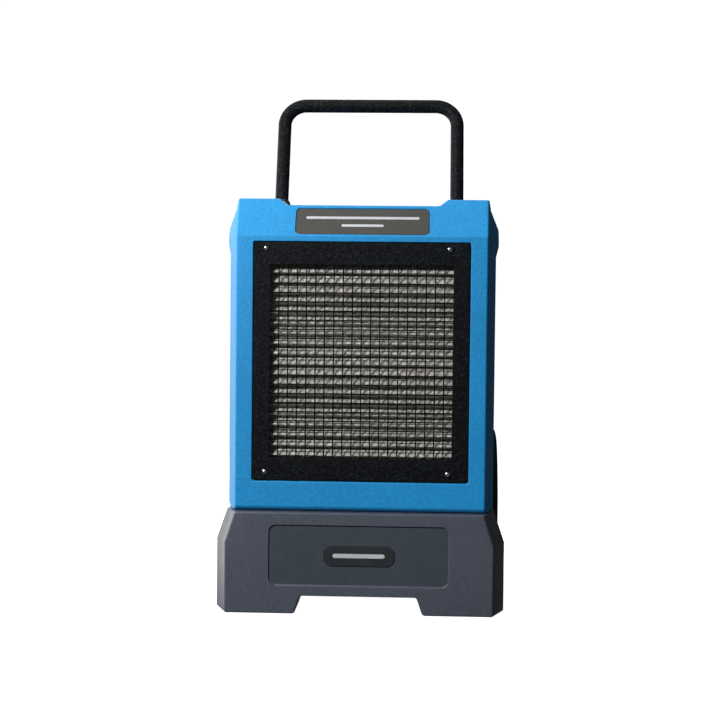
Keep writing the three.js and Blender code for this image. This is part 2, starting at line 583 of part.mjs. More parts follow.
function addRefrigeration(root) {
  const group = new THREE.Group();
  place(group, 'coil_casing', coilCasing(), FINISH.galvanised);
  place(group, 'evaporator_coil', finnedCoil(), FINISH.aluminium, [0, COIL_Y.evaporator, COIL.z]);
  place(group, 'precooler_core', precoolerCore(), FINISH.aluminium, [0, COIL_Y.precooler, COIL.z]);
  place(group, 'condenser_coil', finnedCoil(), FINISH.aluminium, [0, COIL_Y.condenser, COIL.z]);
  place(group, 'drip_tray', dripTray(), FINISH.black);
  place(group, 'compressor', compressor(), FINISH.enamel, [COMPRESSOR.x, COMPRESSOR.y, 0]);
  place(group, 'compressor_plate', compressorPlate(), FINISH.galvanised, [COMPRESSOR.x, COMPRESSOR.y, 0]);
  const cap = COMPRESSOR.top + GAP;
  const end = CASING.halfWidth - 5; // where a pipe ends inside the coil casing
  const [run, back, over] = [196, 96, 326]; // beside the casing, behind it, and above the compressor
  const suction = [[-end, SUCTION.y, SUCTION.z], [-run, SUCTION.y, SUCTION.z], [-run, back, SUCTION.z],
    [-88, back, SUCTION.z], [-88, back, cap - 3]];
  place(group, 'suction_pipe', pipe(suction, 18, 6, 32), FINISH.copper);
  const discharge = [[-38, 88, cap - 2], [-38, 88, over], [run, 88, over], [run, HOT.y, over], [run, HOT.y, HOT.z],
    [end, HOT.y, HOT.z]];
  place(group, 'discharge_pipe', pipe(discharge, 18, 4.5, 38), FINISH.copper);
  const { x, y, bottom, top, radius } = DRIER;
  const entry = x - 4;
  const liquid = [[end, LIQUID.y, LIQUID.z], [entry, LIQUID.y, LIQUID.z], [entry, y, LIQUID.z], [entry, y, top + GAP]];
  place(group, 'liquid_pipe', pipe(liquid, 9, 3.6, 20), FINISH.copper);
  const can = [[0, bottom], [5, bottom], [radius, bottom + 12], [radius, top - 12], [5, top], [0, top]];
  place(group, 'filter_drier', turned(can, 14).rotateX(QUARTER), FINISH.copper, [x, y, 0]);
  const below = bottom - GAP - 24;
  const capillary = [[x, y, bottom - GAP], [x, y, below], [x, FEED.y, below], [x, FEED.y, FEED.z],
    [end, FEED.y, FEED.z]];
  place(group, 'capillary_pipe', pipe(capillary, 10, 2.4, 24), FINISH.copper);
  root.add(group);
}

// ---------------------------------------------------------------- air mover and outlet
function fanShroud() {
  const [edge, foot] = [CASING.halfWidth - CASING.sheet, CASING.bottom + 14];
  const sheet = block(-edge, edge, 0, 3, foot, CASING.top - CASING.sheet);
  const plate = cut(sheet, rod(FAN.ring, -10, 10, 24).translate(0, 0, FAN.z));
  const ring = turned([[FAN.ring, 0], [FAN.ring + 6, 0], [FAN.ring + 3, 56], [FAN.ring, 56], [FAN.ring, 0]], 24);
  const arms = [];
  const count = 3;
  for (let i = 0; i < count; i += 1) {
    const arm = block(20, FAN.ring + 2, 52, 56, -6, 6).rotateY(QUARTER + (i / count) * 2 * Math.PI);
    arms.push(arm);
  }
  const seat = rod(30, 52, 56, 16);
  return join(plate, ...[ring, ...arms, seat].map((piece) => piece.translate(0, 0, FAN.z)));
}

function impeller() {
  const { radius, hub, blades, front, rear } = FAN;
  const boss = rod(hub, front, rear - 6, 16);
  const parts = [boss];
  for (let i = 0; i < blades; i += 1) {
    const blade = block(hub - 6, radius, -1.5, 1.5, -26, 26).rotateX(radians(28)).translate(0, (front + rear) / 2, 0);
    parts.push(blade.rotateY((i / blades) * 2 * Math.PI));
  }
  return join(...parts);
}

function outletGrille() {
  const ringCount = 3;
  const parts = [];
  for (let i = 1; i <= ringCount; i += 1) {
    const r = (i / ringCount) * (OUTLET.radius - 5);
    parts.push(turned([[r - 2.5, 0], [r, 0], [r, 3], [r - 2.5, 3], [r - 2.5, 0]], 16));
  }
  const spokes = 6;
  for (let i = 0; i < spokes; i += 1) {
    const spoke = block(0, OUTLET.radius - 6, 0, 3, -1.5, 1.5).rotateY((i / spokes) * 2 * Math.PI);
    parts.push(spoke);
  }
  parts.push(rod(14, 0, 3, 16));
  return join(...parts);
}

function outletCollar() {
  const { radius, flange, length } = OUTLET;
  const [outer, bore] = [radius - GAP, radius - 4];
  const profile = [[bore, 0], [flange, 0], [flange, 3], [outer, 3], [outer, length - 4], [outer + 3, length],
    [bore, length], [bore, 0]];
  return turned(profile, 36);
}

function addAirMover(root) {
  const group = new THREE.Group();
  place(group, 'fan_shroud', fanShroud(), FINISH.galvanised, [0, CASING.rear + GAP, 0]);
  place(group, 'fan_impeller', impeller(), FINISH.black, [0, CASING.rear, FAN.z]);
  const motor = turned([[0, 0], [36, 0], [42, 6], [42, 52], [34, 60], [0, 60]], 18);
  place(group, 'fan_motor', motor, FINISH.enamel, [0, CASING.rear + 57, FAN.z]);
  place(group, 'outlet_collar', outletCollar(), FINISH.black, [0, HOUSING.rear + GAP, FAN.z]);
  place(group, 'outlet_grille', outletGrille(), FINISH.blackMetal, [0, HOUSING.rear + 8, FAN.z]);
  root.add(group);
}

// ---------------------------------------------------------------- condensate pump
function addCondensate(root) {
  const { width, depth, height, wall } = PUMP;
  const [w, d] = [width / 2, depth / 2];
  const group = new THREE.Group();
  group.position.set(PUMP.x, PUMP.y, BASE.floorZ + BASE.floorThick + GAP);
  const well = block(wall - w, w - wall, wall - d, d - wall, wall, height + 5);
  const port = rod(DRAIN.radius, 0, 100, 12).translate(0, 0, DRAIN.z - group.position.z);
  const tank = block(-w, w, -d, d, 0, height);
  place(group, 'pump_reservoir', cut(tank, well, port), FINISH.black);
  const lidPlate = block(-w, w, -d, d, height + GAP, height + 4);
  const motor = rodZ(18, height + 3, height + 30, 16).translate(34, 0, 0);
  const spoutHole = rodZ(SPOUT.radius + 1.5, height - 10, height + 20, 12);
  spoutHole.translate(SPOUT.x - PUMP.x, SPOUT.y - PUMP.y, 0);
  place(group, 'pump_lid', cut(join(lidPlate, motor), spoutHole), FINISH.enamel);
  const ball = turned([[0, -9], [14, -9], [17, -5], [17, 5], [14, 9], [0, 9]], 16).rotateX(QUARTER);
  place(group, 'pump_float', ball, FINISH.white, [30, 0, 14]);
  root.add(group);
  place(root, 'drain_fitting', drainFitting(PUMP.y + d - wall - 1), FINISH.black, [DRAIN.x, 0, DRAIN.z]);
}

// A tube from the reservoir to a barbed hose end behind the base.
function drainFitting(start) {
  const { radius, bore, rear } = DRAIN;
  const [pipeRadius, collar, flange] = [radius - 1, BASE.rear + 4, radius + 5];
  const barbs = [12, 20, 28].flatMap((at) => [[radius, BASE.rear + at], [radius - 3, BASE.rear + at + 8]]);
  const fitting = turned([[0, start], [pipeRadius, start], [pipeRadius, BASE.rear - 10], [pipeRadius, collar],
    [flange, collar], [flange, collar + 8], ...barbs, [0, rear]], 12);
  return cut(fitting, rod(bore, BASE.rear - 30, rear + 10, 12));
}

// ---------------------------------------------------------------- electrics and controls
function fascia() {
  const plate = alongZ(roundedRectangle(PANEL.width, PANEL.depth, 8), 0, PANEL.thick);
  const holes = KEYS.x.map((x) => rodZ(KEYS.radius + GAP, -10, 10, 12).translate(x, KEYS.y, 0));
  const { width, height, y, depth } = DISPLAY;
  const window = block(-width / 2, width / 2, y - height / 2, y + height / 2, PANEL.thick - depth, 10);
  return cut(plate, window, ...holes);
}

function addElectrics(root) {
  const group = new THREE.Group();
  group.position.set(0, PANEL.y, HOUSING.channelZ - PANEL.sunk + GAP);
  place(group, 'control_fascia', fascia(), FINISH.black);
  const glass = roundedRectangle(DISPLAY.width - 1, DISPLAY.height - 1, 2);
  const lens = alongZ(glass, PANEL.thick - DISPLAY.depth + GAP, PANEL.thick);
  place(group, 'display_lens', lens, FINISH.lens, [0, DISPLAY.y, 0]);
  const r = KEYS.radius;
  KEYS.x.forEach((x, i) => {
    const cap = turned([[0, -4], [r + 1.6, -4], [r + 1.6, -GAP], [r, -GAP], [r, 5], [r - 1, 6], [0, 6]], 12);
    place(group, `button_${i + 1}`, cap.rotateX(QUARTER), FINISH.white, [x, KEYS.y, 0]);
  });
  root.add(group);
  const box = block(0, 100, 0, 56, 0, 100);
  place(root, 'control_box', box, FINISH.galvanised, [64, 108, DECK.top + GAP]);
  const can = turned([[0, 0], [17, 0], [17, 74], [14, 78], [0, 78]], 16).rotateX(QUARTER);
  place(root, 'capacitor', can, FINISH.enamel, [38, 60, DECK.top + GAP]);
  const flange = block(-22, 22, GAP, 3, -17, 17);
  const body = block(-13.4, 13.4, -24, 3, -11.4, 11.4);
  const mouth = block(-10, 10, -14, 10, -7, 7);
  place(root, 'power_inlet', cut(join(flange, body), mouth), FINISH.black, [INLET.x, HOUSING.rear, INLET.z]);
  const rocker = turned([[0, -9], [12, -9], [13, 0], [12, 9], [0, 9]], 6);
  const paddle = common(rocker.rotateZ(QUARTER), block(-9.5, 9.5, -12, 6, -14, 14));
  place(root, 'rocker_switch', paddle, FINISH.red, [SWITCH.x, HOUSING.rear - 2, SWITCH.z]);
  for (const [name, side] of sides) {
    const profile = [[GAP, -14], [5, -14], [5, -5], [36, -5], [36, 22], [30, 22], [30, 1], [5, 1], [5, 14],
      [GAP, 14]];
    const arm = alongX(outline(profile), -HOOK.halfWidth, HOOK.halfWidth);
    place(root, `cord_hook_${name}`, arm, FINISH.black, [side * HOOK.x, HOUSING.rear, HOOK.z]);
  }
}

const dehumidifier = new THREE.Group();
addChassis(dehumidifier);
addIntake(dehumidifier);
addHandle(dehumidifier);
addWheels(dehumidifier);
addRefrigeration(dehumidifier);
addAirMover(dehumidifier);
addCondensate(dehumidifier);
addElectrics(dehumidifier);

export default dehumidifier;
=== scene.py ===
"""Looks for the portable refrigerant dehumidifier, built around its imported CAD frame.

Metres, +Z up, the intake faces -Y. Every place comes from the frame's boxes or from the named
dimensions below. The first group follows the CAD's own, 1 mm inside the recess and 2 mm inside the
fan's sweep. The second belongs to the finer pieces: its wire radius and pleats differ from the CAD's.
"""
import json
import math

import bmesh
import bpy
import numpy as np
from mathutils import Matrix, Vector, noise

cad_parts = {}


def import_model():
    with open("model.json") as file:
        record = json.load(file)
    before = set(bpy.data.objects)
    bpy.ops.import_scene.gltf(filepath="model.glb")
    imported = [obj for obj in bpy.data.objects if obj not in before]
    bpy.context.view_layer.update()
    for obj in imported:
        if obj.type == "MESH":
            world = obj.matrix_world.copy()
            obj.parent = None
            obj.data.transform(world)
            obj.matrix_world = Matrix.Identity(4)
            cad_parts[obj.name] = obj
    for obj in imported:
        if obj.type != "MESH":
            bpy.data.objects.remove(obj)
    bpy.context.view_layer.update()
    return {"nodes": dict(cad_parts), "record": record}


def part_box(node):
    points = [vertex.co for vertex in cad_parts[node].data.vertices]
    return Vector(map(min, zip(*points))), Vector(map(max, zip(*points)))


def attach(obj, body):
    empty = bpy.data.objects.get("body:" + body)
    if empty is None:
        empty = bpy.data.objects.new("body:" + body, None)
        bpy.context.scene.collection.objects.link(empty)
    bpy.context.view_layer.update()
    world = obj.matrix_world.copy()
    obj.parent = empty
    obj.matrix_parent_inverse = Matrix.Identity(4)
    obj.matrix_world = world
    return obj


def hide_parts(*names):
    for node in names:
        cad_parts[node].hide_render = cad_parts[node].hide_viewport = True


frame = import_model()
NODES = frame["nodes"]
MM = 0.001

# ------------------------------------------------------------------ dimensions that follow the CAD's
INTAKE_Z = 418.5 * MM
RECESS = {"half_x": 148 * MM, "half_z": 49 * MM, "z": 98.8 * MM, "y": -237 * MM,
          "near": 0.8 * MM}
HANDLE = {"x": 160 * MM, "radius": 12.2 * MM, "lean": math.radians(19.5), "foot": (52 * MM, 690 * MM),
          "reach": 205 * MM, "tail": 92 * MM, "bend": 40 * MM}
WHEEL = {"x": 215 * MM, "y": 95 * MM, "radius": 145 * MM, "half": 23 * MM, "inner": 112 * MM,
         "rim": 111.6 * MM}
FAN = {"blades": 7, "hub": 40 * MM, "root": 38 * MM, "tip": 126 * MM}
LABEL_LEAN = math.atan2(45, 64)  # rise and run of the sloped panel

# ------------------------------------------------------------------ dimensions of the finer pieces
WIRE = {"pitch": 15.2 * MM, "radius": 1.2 * MM, "columns": 19, "rows": 20}
PLEAT = {"height": 331.2 * MM, "pitch": 16.88 * MM, "depth": 14 * MM, "upper": 0.74, "phase": 0.42,
         "sheet": 1.6 * MM, "front": 0.9 * MM, "sway": 0.8 * MM, "crinkle": 0.55 * MM}
# gap, edge and slack of the tread are in lug pitches
TREAD = {"lugs": 40, "groove": 2.6 * MM, "gap": 0.11, "edge": 0.07, "slack": 0.005}
PRINT = {"thick": 0.12 * MM, "label_height": 5.2 * MM, "badge_height": 7 * MM, "label_lift": 0.74 * MM,
         "badge_lift": 0.03 * MM}
ROUNDING = {"weld": 0.02 * MM, "flat": 0.6, "corner": 20, "share": 0.4}  # angles in degrees


# ------------------------------------------------------------------ mesh helpers
def new_object(name, bm, smooth=True, sharp_angle=30):
    """Turns a bmesh into an object of the scene and frees it."""
    mesh = bpy.data.meshes.new(name)
    bm.normal_update()
    bm.to_mesh(mesh)
    bm.free()
    obj = bpy.data.objects.new(name, mesh)
    bpy.context.scene.collection.objects.link(obj)
    if smooth:
        mesh.shade_smooth()
        mesh.set_sharp_from_angle(angle=math.radians(sharp_angle))
    return obj


def finish_piece(obj, material, body, slot, *replaced):
    """Gives a piece its material and its body, and hides the CAD nodes that it stands for. The slot argument
    is not used.
    """
    obj.data.materials.clear()
    obj.data.materials.append(material)
    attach(obj, body)
    if replaced:
        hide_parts(*replaced)
    return obj


def edge_room(edge):
    """How far a rounding may reach from an edge: the narrowest span of the faces beside it."""
    start, end = (v.co.copy() for v in edge.verts)
    along, length = (end - start).normalized(), (end - start).length

    def away(point):
        return (point - start - along * (point - start).dot(along)).length

    spans = []
    for face in edge.link_faces:
        spans.append(max(away(v.co) for v in face.verts))
        for other in face.edges:
            a, b = (v.co for v in other.verts)
            low, high = sorted(((a - start).dot(along), (b - start).dot(along)))
            parallel = abs((b - a).normalized().dot(along)) > 0.98
            if other is not edge and parallel and high > 0 and low < length:
                spans.append(away((a + b) / 2))
    return min(spans)


def softened(node, width, segments):
    """A copy of a CAD node with its flat faces merged and its corners rounded as far as they have room."""
    bm = bmesh.new()
    bm.from_mesh(NODES[node].data)
    bmesh.ops.remove_doubles(bm, verts=bm.verts, dist=ROUNDING["weld"])
    flat = math.radians(ROUNDING["flat"])
    bmesh.ops.dissolve_limit(bm, angle_limit=flat, verts=bm.verts, edges=bm.edges)
    bmesh.ops.connect_verts_concave(bm, faces=bm.faces)
    weight = bm.edges.layers.float.new("bevel_weight_edge")
    for edge in bm.edges:
        if edge.is_manifold and edge.calc_face_angle() > math.radians(ROUNDING["corner"]):
            edge[weight] = min(1.0, ROUNDING["share"] * edge_room(edge) / width)
    obj = new_object(node + "_moulded", bm, sharp_angle=80)
    bevel = obj.modifiers.new("round", "BEVEL")
    bevel.width = width
    bevel.segments = segments
    bevel.limit_method = "WEIGHT"
    bevel.use_clamp_overlap = False
    normals = obj.modifiers.new("normals", "WEIGHTED_NORMAL")
    normals.weight = 100
    apply_modifiers(obj)
    return obj


def apply_modifiers(obj):
    """Keeps the modified mesh, with its custom normals, as the object's own."""
    depsgraph = bpy.context.evaluated_depsgraph_get()
    mesh = bpy.data.meshes.new_from_object(obj.evaluated_get(depsgraph))
    obj.modifiers.clear()
    obj.data = mesh


def add_tube(bm, points, radius, sides):
    """Sweeps a round section along points, keeping it from twisting, and closes both ends."""
    points = [Vector(p) for p in points]
    tangents = []
    for i in range(len(points)):
        ahead = points[min(i + 1, len(points) - 1)]
        behind = points[max(i - 1, 0)]
        tangents.append((ahead - behind).normalized())
    across = tangents[0].orthogonal().normalized()
    rings = []
    for point, tangent in zip(points, tangents):
        across = (across - tangent * across.dot(tangent)).normalized()
        up = tangent.cross(across)
        ring = []
        for k in range(sides):
            turn = 2 * math.pi * k / sides
            ring.append(bm.verts.new(point + radius * (math.cos(turn) * across + math.sin(turn) * up)))
        rings.append(ring)
    for low, high in zip(rings, rings[1:]):
        for k in range(sides):
            bm.faces.new((low[k], low[(k + 1) % sides], high[(k + 1) % sides], high[k]))
    bm.faces.new(list(reversed(rings[0])))
    bm.faces.new(rings[-1])


def rounded_route(corners, bend, arc_steps, run_step=20 * MM):
    """Points along straight runs joined by arcs of one bend radius."""
    corners = [Vector(c) for c in corners]
    path = [corners[0]]
    for before, corner, after in zip(corners, corners[1:], corners[2:]):
        into = (corner - before).normalized()
        out = (after - corner).normalized()
        half = into.angle(out) / 2
        reach = bend * math.tan(half)
        centre = corner + (out - into).normalized() * (bend / math.cos(half))
        start = corner - into * reach - centre
        finish = corner + out * reach - centre
        axis = start.cross(finish).normalized()
        for k in range(arc_steps + 1):
            path.append(centre + Matrix.Rotation(2 * half * k / arc_steps, 3, axis) @ start)
    path.append(corners[-1])
    dense = [path[0]]
    for a, b in zip(path, path[1:]):
        count = max(1, round((b - a).length / run_step))
        dense.extend(a.lerp(b, (k + 1) / count) for k in range(count))
    return dense


def lathe(bm, profile, steps, frame_matrix):
    """Turns a closed profile of (radius, height) points about the local Z axis."""
    rings = []
    for k in range(steps):
        turn = 2 * math.pi * k / steps
        spots = [Vector((r * math.cos(turn), r * math.sin(turn), h)) for r, h in profile]
        rings.append([bm.verts.new(frame_matrix @ spot) for spot in spots])
    count = len(profile)
    for k in range(steps):
        here, there = rings[k], rings[(k + 1) % steps]
        for i in range(count):
            j = (i + 1) % count
            bm.faces.new((here[i], there[i], there[j], here[j]))
    bmesh.ops.remove_doubles(bm, verts=bm.verts, dist=1e-6)


# ------------------------------------------------------------------ materials
class Shader:
    """A Principled material with short helpers for its procedural nodes."""

    def __init__(self, name):
        self.material = bpy.data.materials.new(name)
        self.material.use_nodes = True
        self.tree = self.material.node_tree
        self.bsdf = self.tree.nodes["Principled BSDF"]
        self.coords = self.tree.nodes.new("ShaderNodeTexCoord").outputs["Object"]

    def set(self, **values):
        for key, value in values.items():
            self.bsdf.inputs[key.replace("_", " ")].default_value = value

    def node(self, kind, **attributes):
        made = self.tree.nodes.new(kind)
        for key, value in attributes.items():
            setattr(made, key, value)
        return made

    def link(self, source, target):
        self.tree.links.new(source, target)

    def noise(self, scale, detail=2.0, roughness=0.5, stretch=None, distortion=0.0):
        made = self.node("ShaderNodeTexNoise")
        made.inputs["Scale"].default_value = scale
        made.inputs["Detail"].default_value = detail
        made.inputs["Roughness"].default_value = roughness
        made.inputs["Distortion"].default_value = distortion
        self.link(self.stretched(stretch), made.inputs["Vector"])
        return made.outputs["Fac"]

    def stretched(self, stretch):
        if stretch is None:
            return self.coords
        mapping = self.node("ShaderNodeMapping")
        mapping.inputs["Scale"].default_value = stretch
        self.link(self.coords, mapping.inputs["Vector"])
        return mapping.outputs["Vector"]

    def axis(self, letter):
        """One of the object's own X, Y and Z coordinates."""
        made = self.node("ShaderNodeSeparateXYZ")
        self.link(self.coords, made.inputs["Vector"])
        return made.outputs[letter]

    def cells(self, scale, stretch=None):
        """A random tone for each cell of a Voronoi pattern."""
        made = self.node("ShaderNodeTexVoronoi")
        made.inputs["Scale"].default_value = scale
        self.link(self.stretched(stretch), made.inputs["Vector"])
        return made.outputs["Color"]

    def math(self, operation, a, b=0.0):
        made = self.node("ShaderNodeMath", operation=operation)
        for socket, value in zip(made.inputs, (a, b)):
            if isinstance(value, (int, float)):
                socket.default_value = value
            else:
                self.link(value, socket)
        return made.outputs[0]

    def ramp(self, factor, *stops):
        made = self.node("ShaderNodeValToRGB")
        elements = made.color_ramp.elements
        while len(elements) < len(stops):
            elements.new(0.5)
        for element, (position, colour) in zip(elements, stops):
            element.position = position
            element.color = (*colour, 1.0)
        self.link(factor, made.inputs["Fac"])
        return made.outputs["Color"]

    def map(self, factor, low, high, from_low=0.0, from_high=1.0):
        made = self.node("ShaderNodeMapRange")
        limits = {"From Min": from_low, "From Max": from_high, "To Min": low, "To Max": high}
        for name, value in limits.items():
            made.inputs[name].default_value = value
        self.link(factor, made.inputs["Value"])
        return made.outputs["Result"]

    def bump(self, height, strength, distance, below=None):
        made = self.node("ShaderNodeBump")
        made.inputs["Strength"].default_value = strength
        made.inputs["Distance"].default_value = distance
        self.link(height, made.inputs["Height"])
        if below is not None:
            self.link(below, made.inputs["Normal"])
        return made.outputs["Normal"]

    def use(self, colour=None, roughness=None, normal=None):
        for socket, source in (("Base Color", colour), ("Roughness", roughness), ("Normal", normal)):
            if source is not None:
                self.link(source, self.bsdf.inputs[socket])
        return self.material


def shade(colour, factor):
    return tuple(min(1.0, c * factor) for c in colour)


def moulded_plastic(name, colour, grain, depth, rough, specular=0.5):
    """Moulded thermoplastic: fine grain, slow tone drift from the mould and faint scuffs."""
    s = Shader(name)
    s.set(Specular_IOR_Level=specular)
    drift = s.noise(3.0, 3.0)
    speck = s.cells(grain)
    tone = s.math("ADD", s.math("MULTIPLY", drift, 0.62), s.math("MULTIPLY", speck, 0.38))
    base = s.ramp(tone, (0.36, shade(colour, 0.86)), (0.64, shade(colour, 1.12)))
    scuff = s.noise(60.0, 4.0, 0.7, stretch=(1, 1, 0.25))
    roughness = s.map(scuff, rough[0], rough[1], 0.3, 0.7)
    fine = s.noise(grain, 2.0)
    wave = s.noise(14.0, 1.0)
    normal = s.bump(wave, 0.08, 0.004)
    return s.use(base, roughness, s.bump(fine, 0.35, depth, normal))


def powder_coat(name, colour, lump, strength, glint):
    """Black textured powder coat: every lump gets its own tone, and the brightest are painted up to glint
    times the coat's colour as painted glints.
    """
    s = Shader(name)
    s.set(Specular_IOR_Level=0.12)
    swirl = s.noise(lump * 0.14, 3.0, 0.6, distortion=2.2)
    lumps = s.math("POWER", s.cells(lump), 1.4)
    speck = s.math("MULTIPLY", lumps, s.map(swirl, 0.8, 1.1, 0.35, 0.65))
    # the top stop, glint times the colour, is a painted glint on the brightest lumps
    base = s.ramp(speck, (0.0, shade(colour, 0.4)), (0.45, colour), (1.0, shade(colour, glint)))
    roughness = s.map(speck, 0.66, 0.4)
    return s.use(base, roughness, s.bump(speck, strength, 0.0009))


def bare_metal(name, colour, rough):
    """Plain metal with a fine uneven polish."""
    s = Shader(name)
    s.set(Metallic=1.0)
    grain = s.noise(220.0, 3.0, 0.6)
    base = s.ramp(grain, (0.3, shade(colour, 0.86)), (0.7, shade(colour, 1.06)))
    roughness = s.map(grain, rough * 0.8, rough * 1.25, 0.3, 0.7)
    return s.use(base, roughness, s.bump(grain, 0.12, 0.0004))


def galvanised(name):
    """Zinc-coated sheet with its spangle."""
    s = Shader(name)
    s.set(Metallic=0.85)
    tone = s.cells(70.0)
    base = s.ramp(tone, (0.2, (0.40, 0.42, 0.44)), (0.8, (0.58, 0.60, 0.62)))
    return s.use(base, s.map(tone, 0.38, 0.55), s.bump(s.noise(90.0), 0.05, 0.0005))


def rubber(name, colour):
    """Matt rubber with a film of dust."""
    s = Shader(name)
    s.set(Specular_IOR_Level=0.35)
    dust = s.noise(35.0, 4.0, 0.65)
    base = s.ramp(dust, (0.35, colour), (0.75, shade(colour, 2.1)))
    return s.use(base, s.map(dust, 0.68, 0.9, 0.3, 0.7), s.bump(s.noise(900.0, 2.0), 0.25, 0.0003))


def woven_film(name):
    """Printed twill pattern under a clear film."""
    s = Shader(name)
    s.set(Specular_IOR_Level=0.3)
    tow = 3.6 * MM
    across = s.math("DIVIDE", s.axis("X"), tow)
    along = s.math("DIVIDE", s.axis("Z"), tow * 0.8)
    over = s.math("PINGPONG", s.math("ADD", across, along), 0.5)
    under = s.math("PINGPONG", s.math("SUBTRACT", across, along), 0.5)
    mix = s.math("ADD", s.math("MULTIPLY", over, 1.2), s.math("MULTIPLY", under, 0.7))
    fleck = s.math("MULTIPLY", s.noise(900.0, 2.0), 0.5)
    tone = s.math("ADD", mix, s.math("SUBTRACT", fleck, 0.25))
    base = s.ramp(tone, (0.2, (0.022, 0.022, 0.020)), (0.8, (0.125, 0.122, 0.112)))
    return s.use(base, s.map(tone, 0.5, 0.34), s.bump(mix, 0.1, 0.0002))


def filter_media(name):
    """Crinkled knitted aluminium: warm grey, many small bright facets."""
    s = Shader(name)
    s.set(Metallic=0.1, Specular_IOR_Level=0.5)
    facets = s.cells(330.0, stretch=(1, 0.4, 1))
    mottle = s.noise(200.0, 3.0, 0.7)
    tone = s.math("ADD", s.math("MULTIPLY", facets, 0.45), s.math("MULTIPLY", mottle, 0.6))
    deep, plain, bright = (0.25, 0.242, 0.218), (0.48, 0.465, 0.43), (0.74, 0.725, 0.68)
    base = s.ramp(tone, (0.3, deep), (0.55, plain), (0.8, bright))
    return s.use(base, s.map(mottle, 0.45, 0.7, 0.3, 0.7), s.bump(tone, 0.6, 0.0010))


def coil_fins(name):
    """Aluminium fins drawn as fine upright lines, with painted shade for the gaps between them."""
    s = Shader(name)
    s.set(Metallic=0.8)
    fins = s.math("FRACT", s.math("DIVIDE", s.axis("X"), 2.4 * MM))
    # the dark part of each fin pitch is painted shade for the gap between two fins
    base = s.ramp(fins, (0.45, (0.62, 0.63, 0.64)), (0.6, (0.05, 0.05, 0.05)))
    return s.use(base, s.map(fins, 0.4, 0.55), s.bump(fins, 0.4, 0.0008))


def glossy(name, colour, rough):
    """Smooth plastic or enamel under a clear coat, slightly smeared."""
    s = Shader(name)
    s.set(Specular_IOR_Level=0.5, Coat_Weight=0.4, Coat_Roughness=0.08)
    smear = s.noise(25.0, 3.0)
    base = s.ramp(smear, (0.3, shade(colour, 0.85)), (0.7, shade(colour, 1.15)))
    return s.use(base, s.map(smear, rough * 0.8, rough * 1.3), s.bump(s.noise(40.0), 0.03, 0.0005))


MAT = {
    "housing_blue": moulded_plastic(
        "blue_moulding", (0.012, 0.300, 0.680), 420, 0.0006, (0.46, 0.56), 0.4),
    "base_charcoal": moulded_plastic(
        "charcoal_moulding", (0.082, 0.094, 0.124), 380, 0.0009, (0.34, 0.46), 0.6),
    # darker than the base charcoal: painted shade for the floor of the recess, with a finer grain
    "recess_grain_and_shade": moulded_plastic(
        "charcoal_fine_grain_and_shade", (0.054, 0.066, 0.086), 500, 0.0005, (0.38, 0.5)),
    "bezel_powder_coat": powder_coat("bezel_coat", (0.0026, 0.0032, 0.0043), 640, 0.8, 11.0),
    "handle_coat": powder_coat("handle_coat", (0.0036, 0.0041, 0.0052), 600, 0.9, 11.0),
    "guard_wire": powder_coat("wire_dip", (0.006, 0.006, 0.006), 900, 0.2, 1.2),
    "filter_media": filter_media("aluminium_media"),
    "label_film": woven_film("twill_film"),
    "badge_film": glossy("badge_film", (0.030, 0.033, 0.040), 0.35),
    "print_white": moulded_plastic("print_white", (0.58, 0.60, 0.62), 900, 0.0002, (0.45, 0.55)),
    "bright_steel": bare_metal("bright_steel", (0.80, 0.80, 0.79), 0.22),
    "trim_plastic": moulded_plastic("black_trim", (0.020, 0.020, 0.022), 700, 0.0005, (0.5, 0.62)),
    "tyre_rubber": rubber("tyre_rubber", (0.016, 0.016, 0.017)),
    "foot_rubber": rubber("foot_rubber", (0.022, 0.022, 0.022)),
    "key_plastic": moulded_plastic("key_plastic", (0.42, 0.43, 0.44), 900, 0.0003, (0.4, 0.5)),
    "display_window": glossy("display_window", (0.012, 0.020, 0.026), 0.12),
    "switch_red": glossy("switch_red", (0.42, 0.015, 0.012), 0.2),
    "sheet_zinc": galvanised("zinc_sheet"),
    "coil_fins": coil_fins("coil_fins"),
    "copper_tube": bare_metal("copper_tube", (0.75, 0.38, 0.22), 0.3),
    "black_enamel": glossy("black_enamel", (0.02, 0.02, 0.022), 0.25),
    "tray_plastic": moulded_plastic("tray_plastic", (0.03, 0.03, 0.032), 500, 0.0005, (0.5, 0.6)),
    "float_foam": moulded_plastic("float_foam", (0.72, 0.72, 0.66), 800, 0.0005, (0.7, 0.8)),
    "filter_edge": moulded_plastic("filter_edge", (0.02, 0.02, 0.02), 500, 0.0004, (0.6, 0.7)),
}
RECORD = frame["record"]
SLOT_OF = {entry["node"]: entry["material_slot"] for entry in RECORD["subparts"]}
BODY_OF = {node: body for body, nodes in RECORD["behaviour"]["bodies"].items() for node in nodes}


def replace_with(obj, node):
    """Puts a finer piece in the place of a CAD node, with that node's body and slot."""
    slot = SLOT_OF[node]
    return finish_piece(obj, MAT[slot], BODY_OF[node], slot, node)


# ------------------------------------------------------------------ intake
def wire_guard():
    """Welded mesh of round wires: uprights in front, cross wires welded behind them."""
    low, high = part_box("guard_vertical_wires")
    radius, sides, points = WIRE["radius"], 8, 9
    front = low.y + radius
    back = front + 2 * radius * 0.93  # the two layers are welded slightly into each other
    bm = bmesh.new()
    span_x = (WIRE["columns"] - 1) * WIRE["pitch"]
    span_z = (WIRE["rows"] - 1) * WIRE["pitch"]
    inner_low, inner_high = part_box("guard_horizontal_wires")
    for i in range(WIRE["columns"]):
        x = i * WIRE["pitch"] - span_x / 2
        run = [Vector((x, front, z)) for z in np.linspace(low.z, high.z, points)]
        add_tube(bm, run, radius, sides)
    for j in range(WIRE["rows"]):
        z = INTAKE_Z + j * WIRE["pitch"] - span_z / 2
        run = [Vector((x, back, z)) for x in np.linspace(inner_low.x, inner_high.x, points)]
        add_tube(bm, run, radius, sides)
    obj = new_object("wire_guard", bm)
    finish_piece(obj, MAT["guard_wire"], "chassis", "guard_wire",
                 "guard_vertical_wires", "guard_horizontal_wires")


